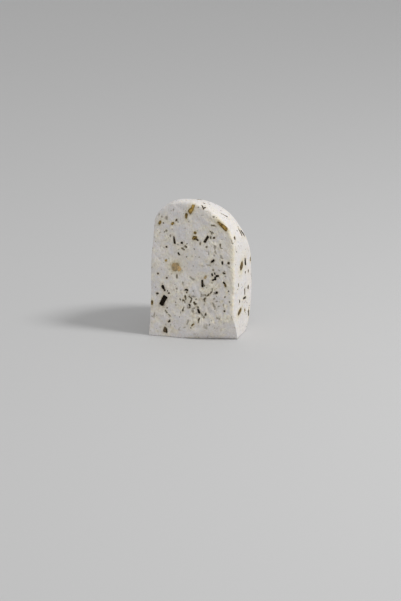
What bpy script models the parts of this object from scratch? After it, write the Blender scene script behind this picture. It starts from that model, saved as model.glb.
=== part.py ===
"""Herb cheese: half of a small round cheese wheel, stood up on a second cut.

The wheel's axis lies level, along X. The front (towards -Y) is a flat cut just in front of
the axis, the base (Z = 0) is a cut square to it, and the rest is the wheel's own rounded
outside. A slanting trim takes off the low front corner on the +X side. Flakes of herb are
bedded in the cheese and stand a little proud of it.

Metres, +Z up, origin at the middle of the base.
"""

import math
import random

import bmesh
import bpy
import numpy as np
from mathutils import Matrix, Vector
from mathutils.bvhtree import BVHTree

# The wheel and its two cuts
WHEEL_RADIUS = 0.0765
WHEEL_THICKNESS = 0.072
AXIS_HEIGHT = 0.0369
AXIS_BEHIND_CUT = 0.0053

# Rounded shoulders between the wheel's flat faces and its rim: across the rim, down the face
LEFT_SHOULDER = (0.0224, 0.0179)
RIGHT_SHOULDER = (0.0449, 0.0342)

# The wheel grows thinner towards its rim, and leans over as it rises
RIM_TAPER = 0.126
LEAN = 0.0246

# Slanting trim under the front face: where it starts, its rise and how far back it runs
TRIM_START_X = -0.0076
TRIM_RISE = 0.497
TRIM_BACK = 0.236

# Steps of a shoulder's curve, and the grid over the surface
PROFILE_STEPS = 400
COLUMNS = 28
TRIM_ROWS = 4
FRONT_ROWS = 25
BASE_ROWS = 12

# Uneven surface: long swells all over, short crumbly waves mostly on the cut
SWELL_LENGTHS = (0.024, 0.046)
SWELL_HEIGHT = 0.00045
CRUMB_LENGTHS = (0.0075, 0.0115)
CRUMB_HEIGHT = 0.00035
CRUMB_ON_RIND = 0.3
WAVES = 14
SWELL_SEED = 11
CRUMB_SEED = 23
BASE_FADE = 0.007

# Herb flakes: how they sit, their outline, and how those of the outside are spread
FLAKE_PROUD = 0.0005
FLAKE_SUNK = 0.0013
FLAKE_SIDES = 7
FLAKE_LENGTHS = (0.0034, 0.0066)
FLAKE_SLIMNESS = (0.40, 0.80)
OUTSIDE_FLAKES = 34
SPREAD_SEED = 7
FLAKE_GAP = 0.0105
EDGE_MARGIN = 0.0055

# The flakes of the cut face: place across and up the face, length, width and turn in degrees
FRONT_FLAKES = (
    (-0.0236, 0.0301, 0.0086, 0.0042, 66.0),
    (0.0130, 0.0841, 0.0066, 0.0028, 65.0),
    (0.0260, 0.0965, 0.0090, 0.0040, -41.0),
    (-0.0004, 0.1047, 0.0104, 0.0038, 58.0),
    (-0.0120, 0.0587, 0.0078, 0.0070, 0.0),
    (0.0096, 0.0475, 0.0078, 0.0026, 86.0),
    (0.0203, 0.0539, 0.0068, 0.0060, 20.0),
    (0.0281, 0.0481, 0.0050, 0.0026, -62.0),
    (-0.0144, 0.0819, 0.0068, 0.0020, -78.0),
    (0.0034, 0.0868, 0.0064, 0.0042, -55.0),
    (-0.0217, 0.0062, 0.0066, 0.0036, -72.0),
    (0.0187, 0.0664, 0.0042, 0.0022, 28.0),
    (-0.0229, 0.0407, 0.0048, 0.0026, -58.0),
    (-0.0104, 0.0704, 0.0034, 0.0022, -50.0),
    (0.0067, 0.0239, 0.0048, 0.0024, -75.0),
    (0.0272, 0.0658, 0.0034, 0.0020, 80.0),
    (0.0212, 0.0411, 0.0028, 0.0024, 0.0),
    (-0.0259, 0.0961, 0.0036, 0.0026, 40.0),
    (0.0014, 0.0120, 0.0036, 0.0022, 30.0),
)

# The flakes of the flat face at +X: place back from the cut and up, length, width and turn
SIDE_FLAKES = (
    (0.0352, 0.0838, 0.0062, 0.0024, -42.0),
    (0.0412, 0.0800, 0.0064, 0.0026, -50.0),
    (0.0070, 0.0859, 0.0030, 0.0024, 0.0),
    (0.0197, 0.0591, 0.0074, 0.0046, 62.0),
    (0.0302, 0.0596, 0.0062, 0.0024, 80.0),
    (0.0392, 0.0500, 0.0036, 0.0022, 10.0),
    (0.0098, 0.0452, 0.0034, 0.0020, 90.0),
    (0.0399, 0.0361, 0.0034, 0.0024, 60.0),
    (0.0282, 0.0305, 0.0072, 0.0018, 4.0),
    (0.0136, 0.0315, 0.0030, 0.0022, 80.0),
    (0.0155, 0.0222, 0.0084, 0.0034, 36.0),
    (0.0293, 0.0196, 0.0036, 0.0022, 90.0),
)
SIDE_REACH = 0.045
SIDE_FACING = 0.75


def clear_scene():
    """Remove every object of the scene."""
    for item in list(bpy.data.objects):
        bpy.data.objects.remove(item, do_unlink=True)


def make_material(name, colour, roughness):
    """A Principled material with one colour."""
    material = bpy.data.materials.new(name)
    material.use_nodes = True
    shader = material.node_tree.nodes["Principled BSDF"]
    shader.inputs["Base Color"].default_value = (*colour, 1.0)
    shader.inputs["Roughness"].default_value = roughness
    shader.inputs["Metallic"].default_value = 0.0
    return material


def shoulders():
    """Places across the rim and radius there: a quarter ellipse up, and one down again."""
    half = WHEEL_THICKNESS / 2
    left_across, left_deep = LEFT_SHOULDER
    right_across, right_deep = RIGHT_SHOULDER
    turn = np.linspace(0.0, math.pi / 2, PROFILE_STEPS)
    across = np.concatenate([
        -half + left_across * (1 - np.cos(turn)),
        half - right_across * (1 - np.cos(turn[::-1])),
    ])
    radius = np.concatenate([
        WHEEL_RADIUS - left_deep * (1 - np.sin(turn)),
        WHEEL_RADIUS - right_deep * (1 - np.sin(turn[::-1])),
    ])
    return across, radius


def rim_profile(columns):
    """Places across the rim and the wheel's radius there, from the left face to the right.

    Two quarter ellipses, the shoulders, join over a narrow flat crown. The columns are
    spread evenly by the mean of the way along the profile and the way across it.
    """
    across, radius = shoulders()
    step_across = np.abs(np.diff(across))
    step_along = np.hypot(step_across, np.diff(radius))
    way = np.concatenate([[0.0], np.cumsum((step_across + step_along) / 2)])
    even = np.linspace(0.0, way[-1], columns + 1)
    return np.interp(even, way, across), np.interp(even, way, radius)


def section_ring(across, radius):
    """One closed section of the wheel at a place across it, as depths and heights.

    It runs up the slanting trim, up the front cut, over the round outside and back to the
    front along the base. Left of the trim, the trim's points all lie at the corner.
    """
    overhang = max(0.0, across - TRIM_START_X)
    rise, back = TRIM_RISE * overhang, TRIM_BACK * overhang
    top = AXIS_HEIGHT + math.sqrt(radius ** 2 - AXIS_BEHIND_CUT ** 2)
    rear = AXIS_BEHIND_CUT + math.sqrt(radius ** 2 - AXIS_HEIGHT ** 2)
    arc_rows = BASE_ROWS + TRIM_ROWS + FRONT_ROWS

    trim = np.linspace(0.0, 1.0, TRIM_ROWS, endpoint=False)
    front = np.linspace(0.0, 1.0, FRONT_ROWS, endpoint=False)
    turn_front = math.asin(-AXIS_BEHIND_CUT / radius)
    turn_rear = math.pi - math.acos(AXIS_HEIGHT / radius)
    turn = np.linspace(turn_front, turn_rear, arc_rows, endpoint=False)
    base = np.linspace(0.0, 1.0, BASE_ROWS, endpoint=False)

    depth = np.concatenate([
        back * (1 - trim), 0 * front,
        AXIS_BEHIND_CUT + radius * np.sin(turn),
        rear + (back - rear) * base,
    ])
    height = np.concatenate([
        rise * trim, rise + (top - rise) * front,
        AXIS_HEIGHT + radius * np.cos(turn),
        0 * base,
    ])
    return depth, height


def place(across, depth, height):
    """Points of the standing piece: the wheel thinned towards its rim and leaning."""
    above = np.maximum(height - AXIS_HEIGHT, 0.0)
    reach = np.hypot(above, depth - AXIS_BEHIND_CUT)
    thinned = across * (1 - RIM_TAPER * (reach / WHEEL_RADIUS) ** 2)
    x = thinned + LEAN * (reach + np.minimum(height, AXIS_HEIGHT))
    return np.stack([x, depth, height], axis=-1)


def face_patch(depth, height):
    """Grid over a section, blended between its four sides (a Coons patch)."""
    tall, deep = TRIM_ROWS + FRONT_ROWS, BASE_ROWS
    ring = np.stack([depth, height], axis=-1)
    total = len(ring)
    front = ring[:tall + 1]
    upper = ring[tall:tall + deep + 1]
    rear = ring[tall + deep:2 * tall + deep + 1][::-1]
    base = ring[(total - np.arange(deep + 1)) % total]
    s = np.linspace(0.0, 1.0, deep + 1)[:, None, None]
    t = np.linspace(0.0, 1.0, tall + 1)[None, :, None]
    sides = (1 - s) * front[None] + s * rear[None] + (1 - t) * base[:, None] + t * upper[:, None]
    corners = ((1 - s) * (1 - t) * front[0] + (1 - s) * t * front[-1]
               + s * (1 - t) * rear[0] + s * t * rear[-1])
    return sides - corners


def wave_field(points, lengths, seed):
    """Sum of sine waves of seeded directions, from about -1 to 1."""
    draw = np.random.default_rng(seed)
    total = np.zeros(len(points))
    for _ in range(WAVES):
        direction = draw.normal(size=3)
        direction /= np.linalg.norm(direction)
        length = draw.uniform(*lengths)
        phase = draw.uniform(0, 2 * math.pi)
        total += np.sin(points @ direction * (2 * math.pi / length) + phase)
    return total / math.sqrt(WAVES)


def body_grid():
    """Vertices and faces of the smooth piece, columns of sections closed by two patches."""
    across, radius = rim_profile(COLUMNS)
    rings = [section_ring(a, r) for a, r in zip(across, radius)]
    around = len(rings[0][0])
    points = [place(a, d, h) for a, (d, h) in zip(across, rings)]
    faces = []
    for column in range(COLUMNS):
        for row in range(around):
            low, high = column * around, (column + 1) * around
            step = (row + 1) % around
            faces.append((low + row, high + row, high + step, low + step))

    tall, deep = TRIM_ROWS + FRONT_ROWS, BASE_ROWS
    count = (COLUMNS + 1) * around
    for column, side in ((0, -1), (COLUMNS, 1)):
        patch = face_patch(*rings[column])
        index = np.zeros((deep + 1, tall + 1), dtype=int)
        start = column * around
        index[0, :] = start + np.arange(tall + 1)
        index[:, tall] = start + tall + np.arange(deep + 1)
        index[deep, :] = start + 2 * tall + deep - np.arange(tall + 1)
        index[:, 0] = start + (around - np.arange(deep + 1)) % around
        inner = patch[1:deep, 1:tall].reshape(-1, 2)
        index[1:deep, 1:tall] = count + np.arange(len(inner)).reshape(deep - 1, tall - 1)
        points.append(place(across[column], inner[:, 0], inner[:, 1]))
        count += len(inner)
        for i in range(deep):
            for j in range(tall):
                quad = (index[i, j], index[i, j + 1], index[i + 1, j + 1], index[i + 1, j])
                faces.append(quad if side < 0 else quad[::-1])
    return np.concatenate(points), faces


def smooth_body():
    """The smooth piece as a bmesh, its coincident points merged."""
    points, faces = body_grid()
    middle = (points.min(axis=0) + points.max(axis=0)) / 2
    points[:, :2] -= middle[:2]
    body = bmesh.new()
    corners = [body.verts.new(point) for point in points]
    for face in faces:
        body.faces.new([corners[int(i)] for i in face])
    bmesh.ops.remove_doubles(body, verts=body.verts, dist=1e-6)
    bmesh.ops.dissolve_degenerate(body, edges=body.edges, dist=1e-6)
    bmesh.ops.recalc_face_normals(body, faces=body.faces)
    return body, Vector((middle[0], middle[1], 0.0))


def warp_field(points, lengths, seed):
    """Three wave fields, one for each direction of space."""
    return np.stack([wave_field(points, lengths, seed + axis) for axis in range(3)], axis=-1)


def roughen(body):
    """Warp the piece by long swells all over and short waves mostly on the cut.

    Heights are left alone at the base, which stays flat.
    """
    body.normal_update()
    verts = list(body.verts)
    points = np.array([v.co[:] for v in verts])
    facing_front = np.array([-v.normal.y for v in verts])
    on_cut = np.clip(facing_front, CRUMB_ON_RIND, 1.0)[:, None]
    warp = SWELL_HEIGHT * warp_field(points, SWELL_LENGTHS, SWELL_SEED)
    warp += CRUMB_HEIGHT * on_cut * warp_field(points, CRUMB_LENGTHS, CRUMB_SEED)
    warp[:, 2] *= np.clip(points[:, 2] / BASE_FADE, 0.0, 1.0)
    for vert, point in zip(verts, points + warp):
        vert.co = point


def outside_point(way, turn):
    """Point and outward normal on the wheel's own surface.

    The way runs from 0 at the left face's middle over the rim to 1 at the right face's
    middle, and the turn goes about the axis, from straight up towards the back.
    """
    across, radius = shoulders()
    across = np.concatenate([[across[0]], across, [across[-1]]])
    radius = np.concatenate([[0.0], radius, [0.0]])
    along = np.concatenate([[0.0], np.cumsum(np.hypot(np.diff(across), np.diff(radius)))])

    def at(way, turn):
        a = np.interp(way * along[-1], along, across)
        r = np.interp(way * along[-1], along, radius)
        return place(a, AXIS_BEHIND_CUT + r * math.sin(turn), AXIS_HEIGHT + r * math.cos(turn)), r

    step = 1e-3
    point, reach = at(way, turn)
    over = at(way + step, turn)[0] - at(way - step, turn)[0]
    round_about = at(way, turn + step)[0] - at(way, turn - step)[0]
    normal = np.cross(round_about, over)
    return Vector(point), Vector(-normal).normalized(), reach


def flake_spots(tree, shift):
    """Where the flakes lie: on the cut, on the face at +X, then seeded over the outside.

    Each spot is a point, the outward normal, a length, a width and a turn in degrees.
    """
    spots = [
        (Vector((x, 0.0, z)) - shift, Vector((0, -1, 0)), length, width, turn)
        for x, z, length, width, turn in FRONT_FLAKES
    ]
    for depth, height, length, width, turn in SIDE_FLAKES:
        start = Vector((WHEEL_THICKNESS, depth, height)) - shift
        point, normal, _, _ = tree.ray_cast(start, Vector((-1, 0, 0)))
        spots.append((point, normal, length, width, turn))

    draw = random.Random(SPREAD_SEED)
    while len(spots) < len(FRONT_FLAKES) + len(SIDE_FLAKES) + OUTSIDE_FLAKES:
        way, turn = draw.uniform(0.02, 0.98), draw.uniform(-0.2, 2.4)
        length = draw.uniform(*FLAKE_LENGTHS)
        width = length * draw.uniform(*FLAKE_SLIMNESS)
        lie, keep = draw.uniform(0, 180), draw.uniform(0, WHEEL_RADIUS)
        point, normal, reach = outside_point(way, turn)
        if keep > reach or point.y < EDGE_MARGIN or point.z < EDGE_MARGIN:
            continue
        if normal.x > SIDE_FACING and point.y < SIDE_REACH:
            continue
        point -= shift
        if all((point - other[0]).length > FLAKE_GAP for other in spots):
            spots.append((point, normal, length, width, lie))
    return spots


def tangents(normal, turn):
    """Two directions in the surface at right angles, turned about its normal in degrees."""
    level = Vector((0, 0, 1)).cross(normal)
    if level.length < 1e-3:
        level = Vector((1, 0, 0))
    level.normalize()
    spin = Matrix.Rotation(math.radians(turn), 3, normal)
    along = spin @ level
    return along, normal.cross(along)


def flake_object(number, spot, tree, collection):
    """One flake: a thin plate of uneven outline, half sunk in the cheese."""
    point, normal, length, width, turn = spot
    point = tree.find_nearest(point)[0]
    along, side = tangents(normal, turn)
    draw = random.Random(100 + number)
    flake = bmesh.new()
    outer, inner = [], []
    for corner in range(FLAKE_SIDES):
        angle = 2 * math.pi * (corner + draw.uniform(-0.22, 0.22)) / FLAKE_SIDES
        offset = along * (math.cos(angle) * length / 2) + side * (math.sin(angle) * width / 2)
        outer.append(flake.verts.new(point + offset * 0.86 + normal * FLAKE_PROUD))
        inner.append(flake.verts.new(point + offset - normal * FLAKE_SUNK))
    flake.faces.new(outer)
    flake.faces.new(inner[::-1])
    for corner in range(FLAKE_SIDES):
        after = (corner + 1) % FLAKE_SIDES
        flake.faces.new((inner[corner], inner[after], outer[after], outer[corner]))
    bmesh.ops.recalc_face_normals(flake, faces=flake.faces)
    mesh = bpy.data.meshes.new("flake")
    flake.to_mesh(mesh)
    flake.free()
    item = bpy.data.objects.new("flake_%02d" % number, mesh)
    item.hide_render = True
    item.display_type = "WIRE"
    collection.objects.link(item)
    return item


def fuse(cheese, collection):
    """Unite the cheese with all the flakes, then remove the loose flakes."""
    union = cheese.modifiers.new("flakes", "BOOLEAN")
    union.operation = "UNION"
    union.operand_type = "COLLECTION"
    union.collection = collection
    union.solver = "EXACT"
    graph = bpy.context.evaluated_depsgraph_get()
    fused = bpy.data.meshes.new_from_object(cheese.evaluated_get(graph))
    cheese.modifiers.clear()
    cheese.data = fused
    for item in list(collection.objects):
        bpy.data.objects.remove(item, do_unlink=True)
    bpy.data.collections.remove(collection)


def tidy_mesh(mesh):
    """Triangles only, shaded smooth but for sharp edges."""
    work = bmesh.new()
    work.from_mesh(mesh)
    bmesh.ops.triangulate(work, faces=work.faces)
    work.to_mesh(mesh)
    work.free()
    mesh.shade_smooth()
    mesh.set_sharp_from_angle(angle=math.radians(35))


def build():
    """Make the herb cheese as one solid."""
    clear_scene()
    body, shift = smooth_body()
    roughen(body)
    bmesh.ops.triangulate(body, faces=body.faces)
    tree = BVHTree.FromBMesh(body)
    spots = flake_spots(tree, shift)
    mesh = bpy.data.meshes.new("herb_cheese")
    body.to_mesh(mesh)
    body.free()
    cheese = bpy.data.objects.new("herb_cheese", mesh)
    bpy.context.scene.collection.objects.link(cheese)

    flakes = bpy.data.collections.new("flakes")
    bpy.context.scene.collection.children.link(flakes)
    for number, spot in enumerate(spots):
        flake_object(number, spot, tree, flakes)
    fuse(cheese, flakes)
    tidy_mesh(cheese.data)
    cheese.data.materials.clear()
    cheese.data.materials.append(make_material("cheese", (0.79, 0.76, 0.70), 0.55))


build()
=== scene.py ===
import logging
import math
import random
from dataclasses import dataclass, field
from enum import Enum
from typing import Any, Callable, Iterable, Sequence

import bpy
import numpy as np
from mathutils import Matrix, Vector
from mathutils.bvhtree import BVHTree


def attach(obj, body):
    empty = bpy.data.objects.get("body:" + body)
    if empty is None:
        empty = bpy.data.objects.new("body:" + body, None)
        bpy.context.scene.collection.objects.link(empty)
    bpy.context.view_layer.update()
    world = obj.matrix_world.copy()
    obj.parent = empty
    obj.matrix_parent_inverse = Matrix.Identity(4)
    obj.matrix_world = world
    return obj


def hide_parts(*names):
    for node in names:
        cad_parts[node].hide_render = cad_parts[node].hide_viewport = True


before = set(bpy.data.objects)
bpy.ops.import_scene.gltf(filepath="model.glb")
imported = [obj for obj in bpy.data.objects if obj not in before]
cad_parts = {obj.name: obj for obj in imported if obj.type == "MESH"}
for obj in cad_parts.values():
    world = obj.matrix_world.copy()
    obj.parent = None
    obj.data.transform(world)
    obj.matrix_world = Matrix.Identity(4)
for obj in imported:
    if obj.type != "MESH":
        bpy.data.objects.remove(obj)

# Looks of the herb cheese: half of a small wheel of white cheese with bedded herbs. The curd is
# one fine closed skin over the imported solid's form, with crumb, pits and a hollow round each
# herb. The herbs are four joined meshes, one for each kind.

log = logging.getLogger("herb_cheese")

NODE = "herb_cheese"
BODY = "root"
MM = 0.001

Array = np.ndarray
Pair = tuple[float, float]
Colour = tuple[float, ...]
Item = bpy.types.Object


@dataclass(frozen=True)
class Wheel:
    """The wheel of cheese and the cuts that leave the standing piece, in metres.

    The wheel's axis lies level along X, the front cut is the plane of depth 0 and the base
    is height 0. A slanting trim takes off the low front corner on the +X side.
    """

    radius: float = 0.0765
    thickness: float = 0.072
    axis_height: float = 0.0369
    axis_behind_cut: float = 0.0053
    left_shoulder: Pair = (0.0224, 0.0179)
    right_shoulder: Pair = (0.0449, 0.0342)
    rim_taper: float = 0.126
    lean: float = 0.0246
    trim_start: float = -0.0076
    trim_rise: float = 0.497
    trim_back: float = 0.236
    profile_steps: int = 400

    def shoulders(self) -> tuple[Array, Array]:
        """Places across the rim and the radius there: a quarter ellipse up to the crown, one down.

        Returns:
            Both, from the left rim to the right one.
        """
        turn = np.linspace(0.0, math.pi / 2, self.profile_steps)
        sides = ((-1, self.left_shoulder, turn), (1, self.right_shoulder, turn[::-1]))
        across = [side * (self.thickness / 2 - wide * (1 - np.cos(t))) for side, (wide, _), t in sides]
        radius = [self.radius - deep * (1 - np.sin(t)) for _, (_, deep), t in sides]
        return np.concatenate(across), np.concatenate(radius)

    def columns(self, count: int) -> tuple[Array, Array]:
        """Spread places evenly by the mean of way along and way across.

        Args:
            count: Steps from left to right.

        Returns:
            Places across and radii, count + 1 of each.
        """
        across, radius = self.shoulders()
        step = np.abs(np.diff(across))
        way = np.concatenate([[0.0], np.cumsum((step + np.hypot(step, np.diff(radius))) / 2)])
        even = np.linspace(0.0, way[-1], count + 1)
        return np.interp(even, way, across), np.interp(even, way, radius)

    def place(self, across: Array, depth: Array, height: Array) -> Array:
        """Thin the wheel by the square of the reach from its axis, and lean it by reach and height.

        Args:
            across: Places along the axis.
            depth: Distances behind the cut.
            height: Heights above the base.

        Returns:
            Points.
        """
        above = np.maximum(height - self.axis_height, 0.0)
        reach = np.hypot(above, depth - self.axis_behind_cut)
        thinned = across * (1 - self.rim_taper * (reach / self.radius) ** 2)
        x = thinned + self.lean * (reach + np.minimum(height, self.axis_height))
        return np.stack(np.broadcast_arrays(x, depth, height), axis=-1)

    def on_cut(self, x: float, z: float, margin: float = 0.0015) -> bool:
        """Whether a place across and up the cut is clear of its edges and of the trim by a margin.

        Args:
            x: Place across the cut.
            z: Place up it.
            margin: Least distance kept.

        Returns:
            True where it is clear.
        """
        across, radius = self.shoulders()
        rim = self.place(across, np.zeros(()), self.axis_height + radius)
        half = self.thickness / 2
        left, right = self.place(np.array([-half, half]), np.zeros(()), np.array(z))[:, 0]
        under_rim = z < np.interp(x, rim[:, 0], rim[:, 2]) - margin
        above_trim = z > self.trim_rise * max(0.0, x - self.trim_start) + margin
        return bool(left + margin < x < right - margin and under_rim and above_trim)

    def behind_trim(self, point: Vector, margin: float = 0.001) -> bool:
        """Whether a point of the face at +X lies clear behind the trim's slanting edge.

        Args:
            point: Place on the face.
            margin: Least distance kept.

        Returns:
            True where it is clear.
        """
        overhang = point.x - self.trim_start
        back, rise = self.trim_back * overhang, self.trim_rise * overhang
        return (point.y - margin) / back + (point.z - margin) / rise > 1

    def outside_point(self, way: float, turn: float) -> tuple[Vector, Vector, float]:
        """Point of the wheel's own surface.

        Args:
            way: 0 at the left face's middle, over the rim, to 1 at the right one's.
            turn: Angle about the axis, from straight up towards the back.

        Returns:
            The point, its outward normal and its radius.
        """
        across, radius = self.shoulders()
        across = np.concatenate([[across[0]], across, [across[-1]]])
        radius = np.concatenate([[0.0], radius, [0.0]])
        along = np.concatenate([[0.0], np.cumsum(np.hypot(np.diff(across), np.diff(radius)))])

        def at(way: float, turn: float) -> tuple[Array, float]:
            """The point at a way and a turn, and its radius.

            Args:
                way: Share of the way across the profile.
                turn: Angle about the axis.

            Returns:
                Both.
            """
            a = np.interp(way * along[-1], along, across)
            r = np.interp(way * along[-1], along, radius)
            depth = self.axis_behind_cut + r * math.sin(turn)
            return self.place(a, depth, self.axis_height + r * math.cos(turn)), r

        step = 1e-3
        point, reach = at(way, turn)
        over = at(way + step, turn)[0] - at(way - step, turn)[0]
        around = at(way, turn + step)[0] - at(way, turn - step)[0]
        return Vector(point), Vector(-np.cross(around, over)).normalized(), reach


@dataclass(frozen=True)
class Grid:
    """Rows and columns of the fine skin."""

    columns: int = 160
    trim: int = 14
    front: int = 176
    base: int = 44

    @property
    def tall(self) -> int:
        """Rows from the base to the top of the cut, trim included."""
        return self.trim + self.front

    @property
    def around(self) -> int:
        """Points round one section."""
        return 2 * (self.tall + self.base)


class Skin:
    """The smooth closed surface of the piece, as arrays."""

    def __init__(self, wheel: Wheel, grid: Grid) -> None:
        """Work out the surface of a wheel's piece on a grid, and centre it on its base.

        Args:
            wheel: Sizes of the piece.
            grid: Counts of its mesh.
        """
        self.wheel, self.grid = wheel, grid
        across, radius = wheel.columns(grid.columns)
        rings = self._rings(across, radius)
        points = [wheel.place(across[:, None], rings[..., 0], rings[..., 1]).reshape(-1, 3)]
        low = (np.arange(grid.columns)[:, None] * grid.around + np.arange(grid.around)).ravel()
        step = np.where((low + 1) % grid.around == 0, low + 1 - grid.around, low + 1)
        quads = [np.stack([low, low + grid.around, step + grid.around, step], axis=-1)]
        start = len(points[0])
        for column, outward in ((0, False), (grid.columns, True)):
            inner, patch_quads = self._patch(rings[column], column, start, outward)
            points.append(wheel.place(across[column], inner[:, 0], inner[:, 1]))
            quads.append(patch_quads)
            start += len(inner)
        every = np.concatenate(points)
        _, first, index = np.unique(
            np.round(every / 1e-7).astype(np.int64), axis=0, return_index=True, return_inverse=True)
        merged, index = every[first], index.reshape(-1)
        self.quads = index[np.concatenate(quads)]
        self.rim_edge = index[np.arange(grid.columns + 1) * grid.around + grid.tall]
        rows = np.arange(grid.trim, grid.tall + 1)
        self.left_edge = index[rows]
        self.right_edge = index[grid.columns * grid.around + rows]
        self.shift = Vector((*((merged.min(axis=0) + merged.max(axis=0)) / 2)[:2], 0.0))
        self.points = merged - np.array(self.shift)

    def _rings(self, across: Array, radius: Array) -> Array:
        """Closed sections: up the trim and the cut, over the outside, back along the base.

        Args:
            across: Places of the sections.
            radius: The wheel's radius at each.

        Returns:
            Depth and height, by section and point.
        """
        wheel, grid = self.wheel, self.grid
        a, r = across[:, None], radius[:, None]
        overhang = np.maximum(0.0, a - wheel.trim_start)
        rise, back = wheel.trim_rise * overhang, wheel.trim_back * overhang
        top = wheel.axis_height + np.sqrt(r ** 2 - wheel.axis_behind_cut ** 2)
        rear = wheel.axis_behind_cut + np.sqrt(r ** 2 - wheel.axis_height ** 2)
        first = np.arcsin(-wheel.axis_behind_cut / r)
        last = math.pi - np.arccos(wheel.axis_height / r)

        def part(count: int) -> Array:
            """Even steps from 0 up to but without 1."""
            return np.linspace(0.0, 1.0, count, endpoint=False)[None]

        trim, front, base = part(grid.trim), part(grid.front), part(grid.base)
        turn = first + (last - first) * part(grid.base + grid.tall)
        depth = np.concatenate([
            back * (1 - trim), 0 * front * r, wheel.axis_behind_cut + r * np.sin(turn),
            rear + (back - rear) * base,
        ], axis=1)
        height = np.concatenate([
            rise * trim, rise + (top - rise) * front, wheel.axis_height + r * np.cos(turn),
            0 * base * r,
        ], axis=1)
        return np.stack([depth, height], axis=-1)

    def _patch(self, ring: Array, column: int, start: int, outward: bool) -> tuple[Array, Array]:
        """Close an end section by a grid blended between its four sides (a Coons patch).

        Args:
            ring: Depth and height round the section.
            column: Which section it is.
            start: Number of the first new point.
            outward: Whether it faces +X.

        Returns:
            The new points inside it, and its quads.
        """
        tall, deep, around = self.grid.tall, self.grid.base, self.grid.around
        front, upper = ring[:tall + 1], ring[tall:tall + deep + 1]
        rear = ring[tall + deep:2 * tall + deep + 1][::-1]
        base = ring[(around - np.arange(deep + 1)) % around]
        s = np.linspace(0.0, 1.0, deep + 1)[:, None, None]
        t = np.linspace(0.0, 1.0, tall + 1)[None, :, None]
        sides = (1 - s) * front[None] + s * rear[None] + (1 - t) * base[:, None] + t * upper[:, None]
        corners = ((1 - s) * (1 - t) * front[0] + (1 - s) * t * front[-1]
                   + s * (1 - t) * rear[0] + s * t * rear[-1])
        inner = (sides - corners)[1:deep, 1:tall].reshape(-1, 2)

        index = np.zeros((deep + 1, tall + 1), dtype=int)
        first = column * around
        index[0] = first + np.arange(tall + 1)
        index[deep] = first + 2 * tall + deep - np.arange(tall + 1)
        index[:, tall] = first + tall + np.arange(deep + 1)
        index[:, 0] = first + (around - np.arange(deep + 1)) % around
        index[1:deep, 1:tall] = start + np.arange(len(inner)).reshape(deep - 1, tall - 1)
        quads = np.stack([index[:-1, :-1], index[:-1, 1:], index[1:, 1:], index[1:, :-1]], axis=-1)
        quads = quads.reshape(-1, 4)
        return inner, quads[:, ::-1] if outward else quads


def vertex_normals(points: Array, quads: Array) -> Array:
    """Unit normals of the vertices, each the sum of its faces' area vectors.

    Args:
        points: Vertices.
        quads: Faces between them.

    Returns:
        A normal for each vertex.
    """
    area = np.cross(points[quads[:, 2]] - points[quads[:, 0]], points[quads[:, 3]] - points[quads[:, 1]])
    total = np.stack([
        np.bincount(quads.ravel(), np.repeat(area[:, axis], 4), len(points)) for axis in range(3)
    ], axis=-1)
    return total / np.maximum(np.linalg.norm(total, axis=1, keepdims=True), 1e-20)


def wave_field(points: Array, lengths: Pair, seed: int, waves: int = 14) -> Array:
    """Sum of sine waves of seeded directions, about -1 to 1.

    Args:
        points: Where it is read.
        lengths: Shortest and longest wave.
        seed: Seed of the draw.
        waves: How many waves.

    Returns:
        A value for each point.
    """
    draw = np.random.default_rng(seed)
    total = np.zeros(len(points))
    for _ in range(waves):
        direction = draw.normal(size=3)
        direction /= np.linalg.norm(direction)
        length = draw.uniform(*lengths)
        total += np.sin(points @ direction * (2 * math.pi / length) + draw.uniform(0, 2 * math.pi))
    return total / math.sqrt(waves)


def lattice(cell: Array, seed: int) -> Array:
    """Random value from 0 to 1 for each cell of a lattice, by mixing its whole numbers and a seed.

    Args:
        cell: Whole numbers of the cells.
        seed: Which values to draw.

    Returns:
        A value for each cell.
    """
    mixed = (cell[..., 0] * 374761393 + cell[..., 1] * 668265263
             + cell[..., 2] * 1442695041 + seed * 1274126177) & 0xFFFFFFFF
    mixed = ((mixed ^ (mixed >> 13)) * 1274126177) & 0xFFFFFFFF
    mixed = ((mixed ^ (mixed >> 16)) * 2246822519) & 0xFFFFFFFF
    return ((mixed ^ (mixed >> 15)) & 0xFFFFFF) / float(0xFFFFFF)


def value_noise(points: Array, size: float, seed: int) -> Array:
    """Smooth noise from -1 to 1: lattice values blended along the three directions.

    Args:
        points: Where it is read.
        size: Width of a lattice cell.
        seed: Seed of the lattice.

    Returns:
        A value for each point.
    """
    scaled = points / size
    cell = np.floor(scaled).astype(np.int64)
    part = scaled - cell
    part = part * part * (3 - 2 * part)
    total = np.zeros(len(points))
    for corner in np.ndindex(2, 2, 2):
        weight = np.prod(np.where(np.array(corner) == 1, part, 1 - part), axis=1)
        total += weight * lattice(cell + np.array(corner), seed)
    return total * 2 - 1


def grains(points: Array, size: float, seed: int) -> tuple[Array, Array]:
    """Distances to the nearest two of one seeded point in each lattice cell, in cells.

    Args:
        points: Where it is read.
        size: Width of a lattice cell.
        seed: Seed of the points.

    Returns:
        The nearest distance and the next one.
    """
    scaled = points / size
    cell = np.floor(scaled).astype(np.int64)
    nearest = np.full(len(points), 9.0)
    second = nearest.copy()
    for offset in np.ndindex(3, 3, 3):
        near = cell + np.array(offset) - 1
        spot = near + np.stack([lattice(near, seed + axis) for axis in range(3)], axis=-1)
        away = np.linalg.norm(scaled - spot, axis=1)
        second = np.minimum(second, np.maximum(nearest, away))
        nearest = np.minimum(nearest, away)
    return nearest, second


def smooth_step(value: Array, low: float, high: float) -> Array:
    """0 below low, 1 above high, and an even S between them."""
    t = np.clip((value - low) / (high - low), 0.0, 1.0)
    return t * t * (3 - 2 * t)


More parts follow.
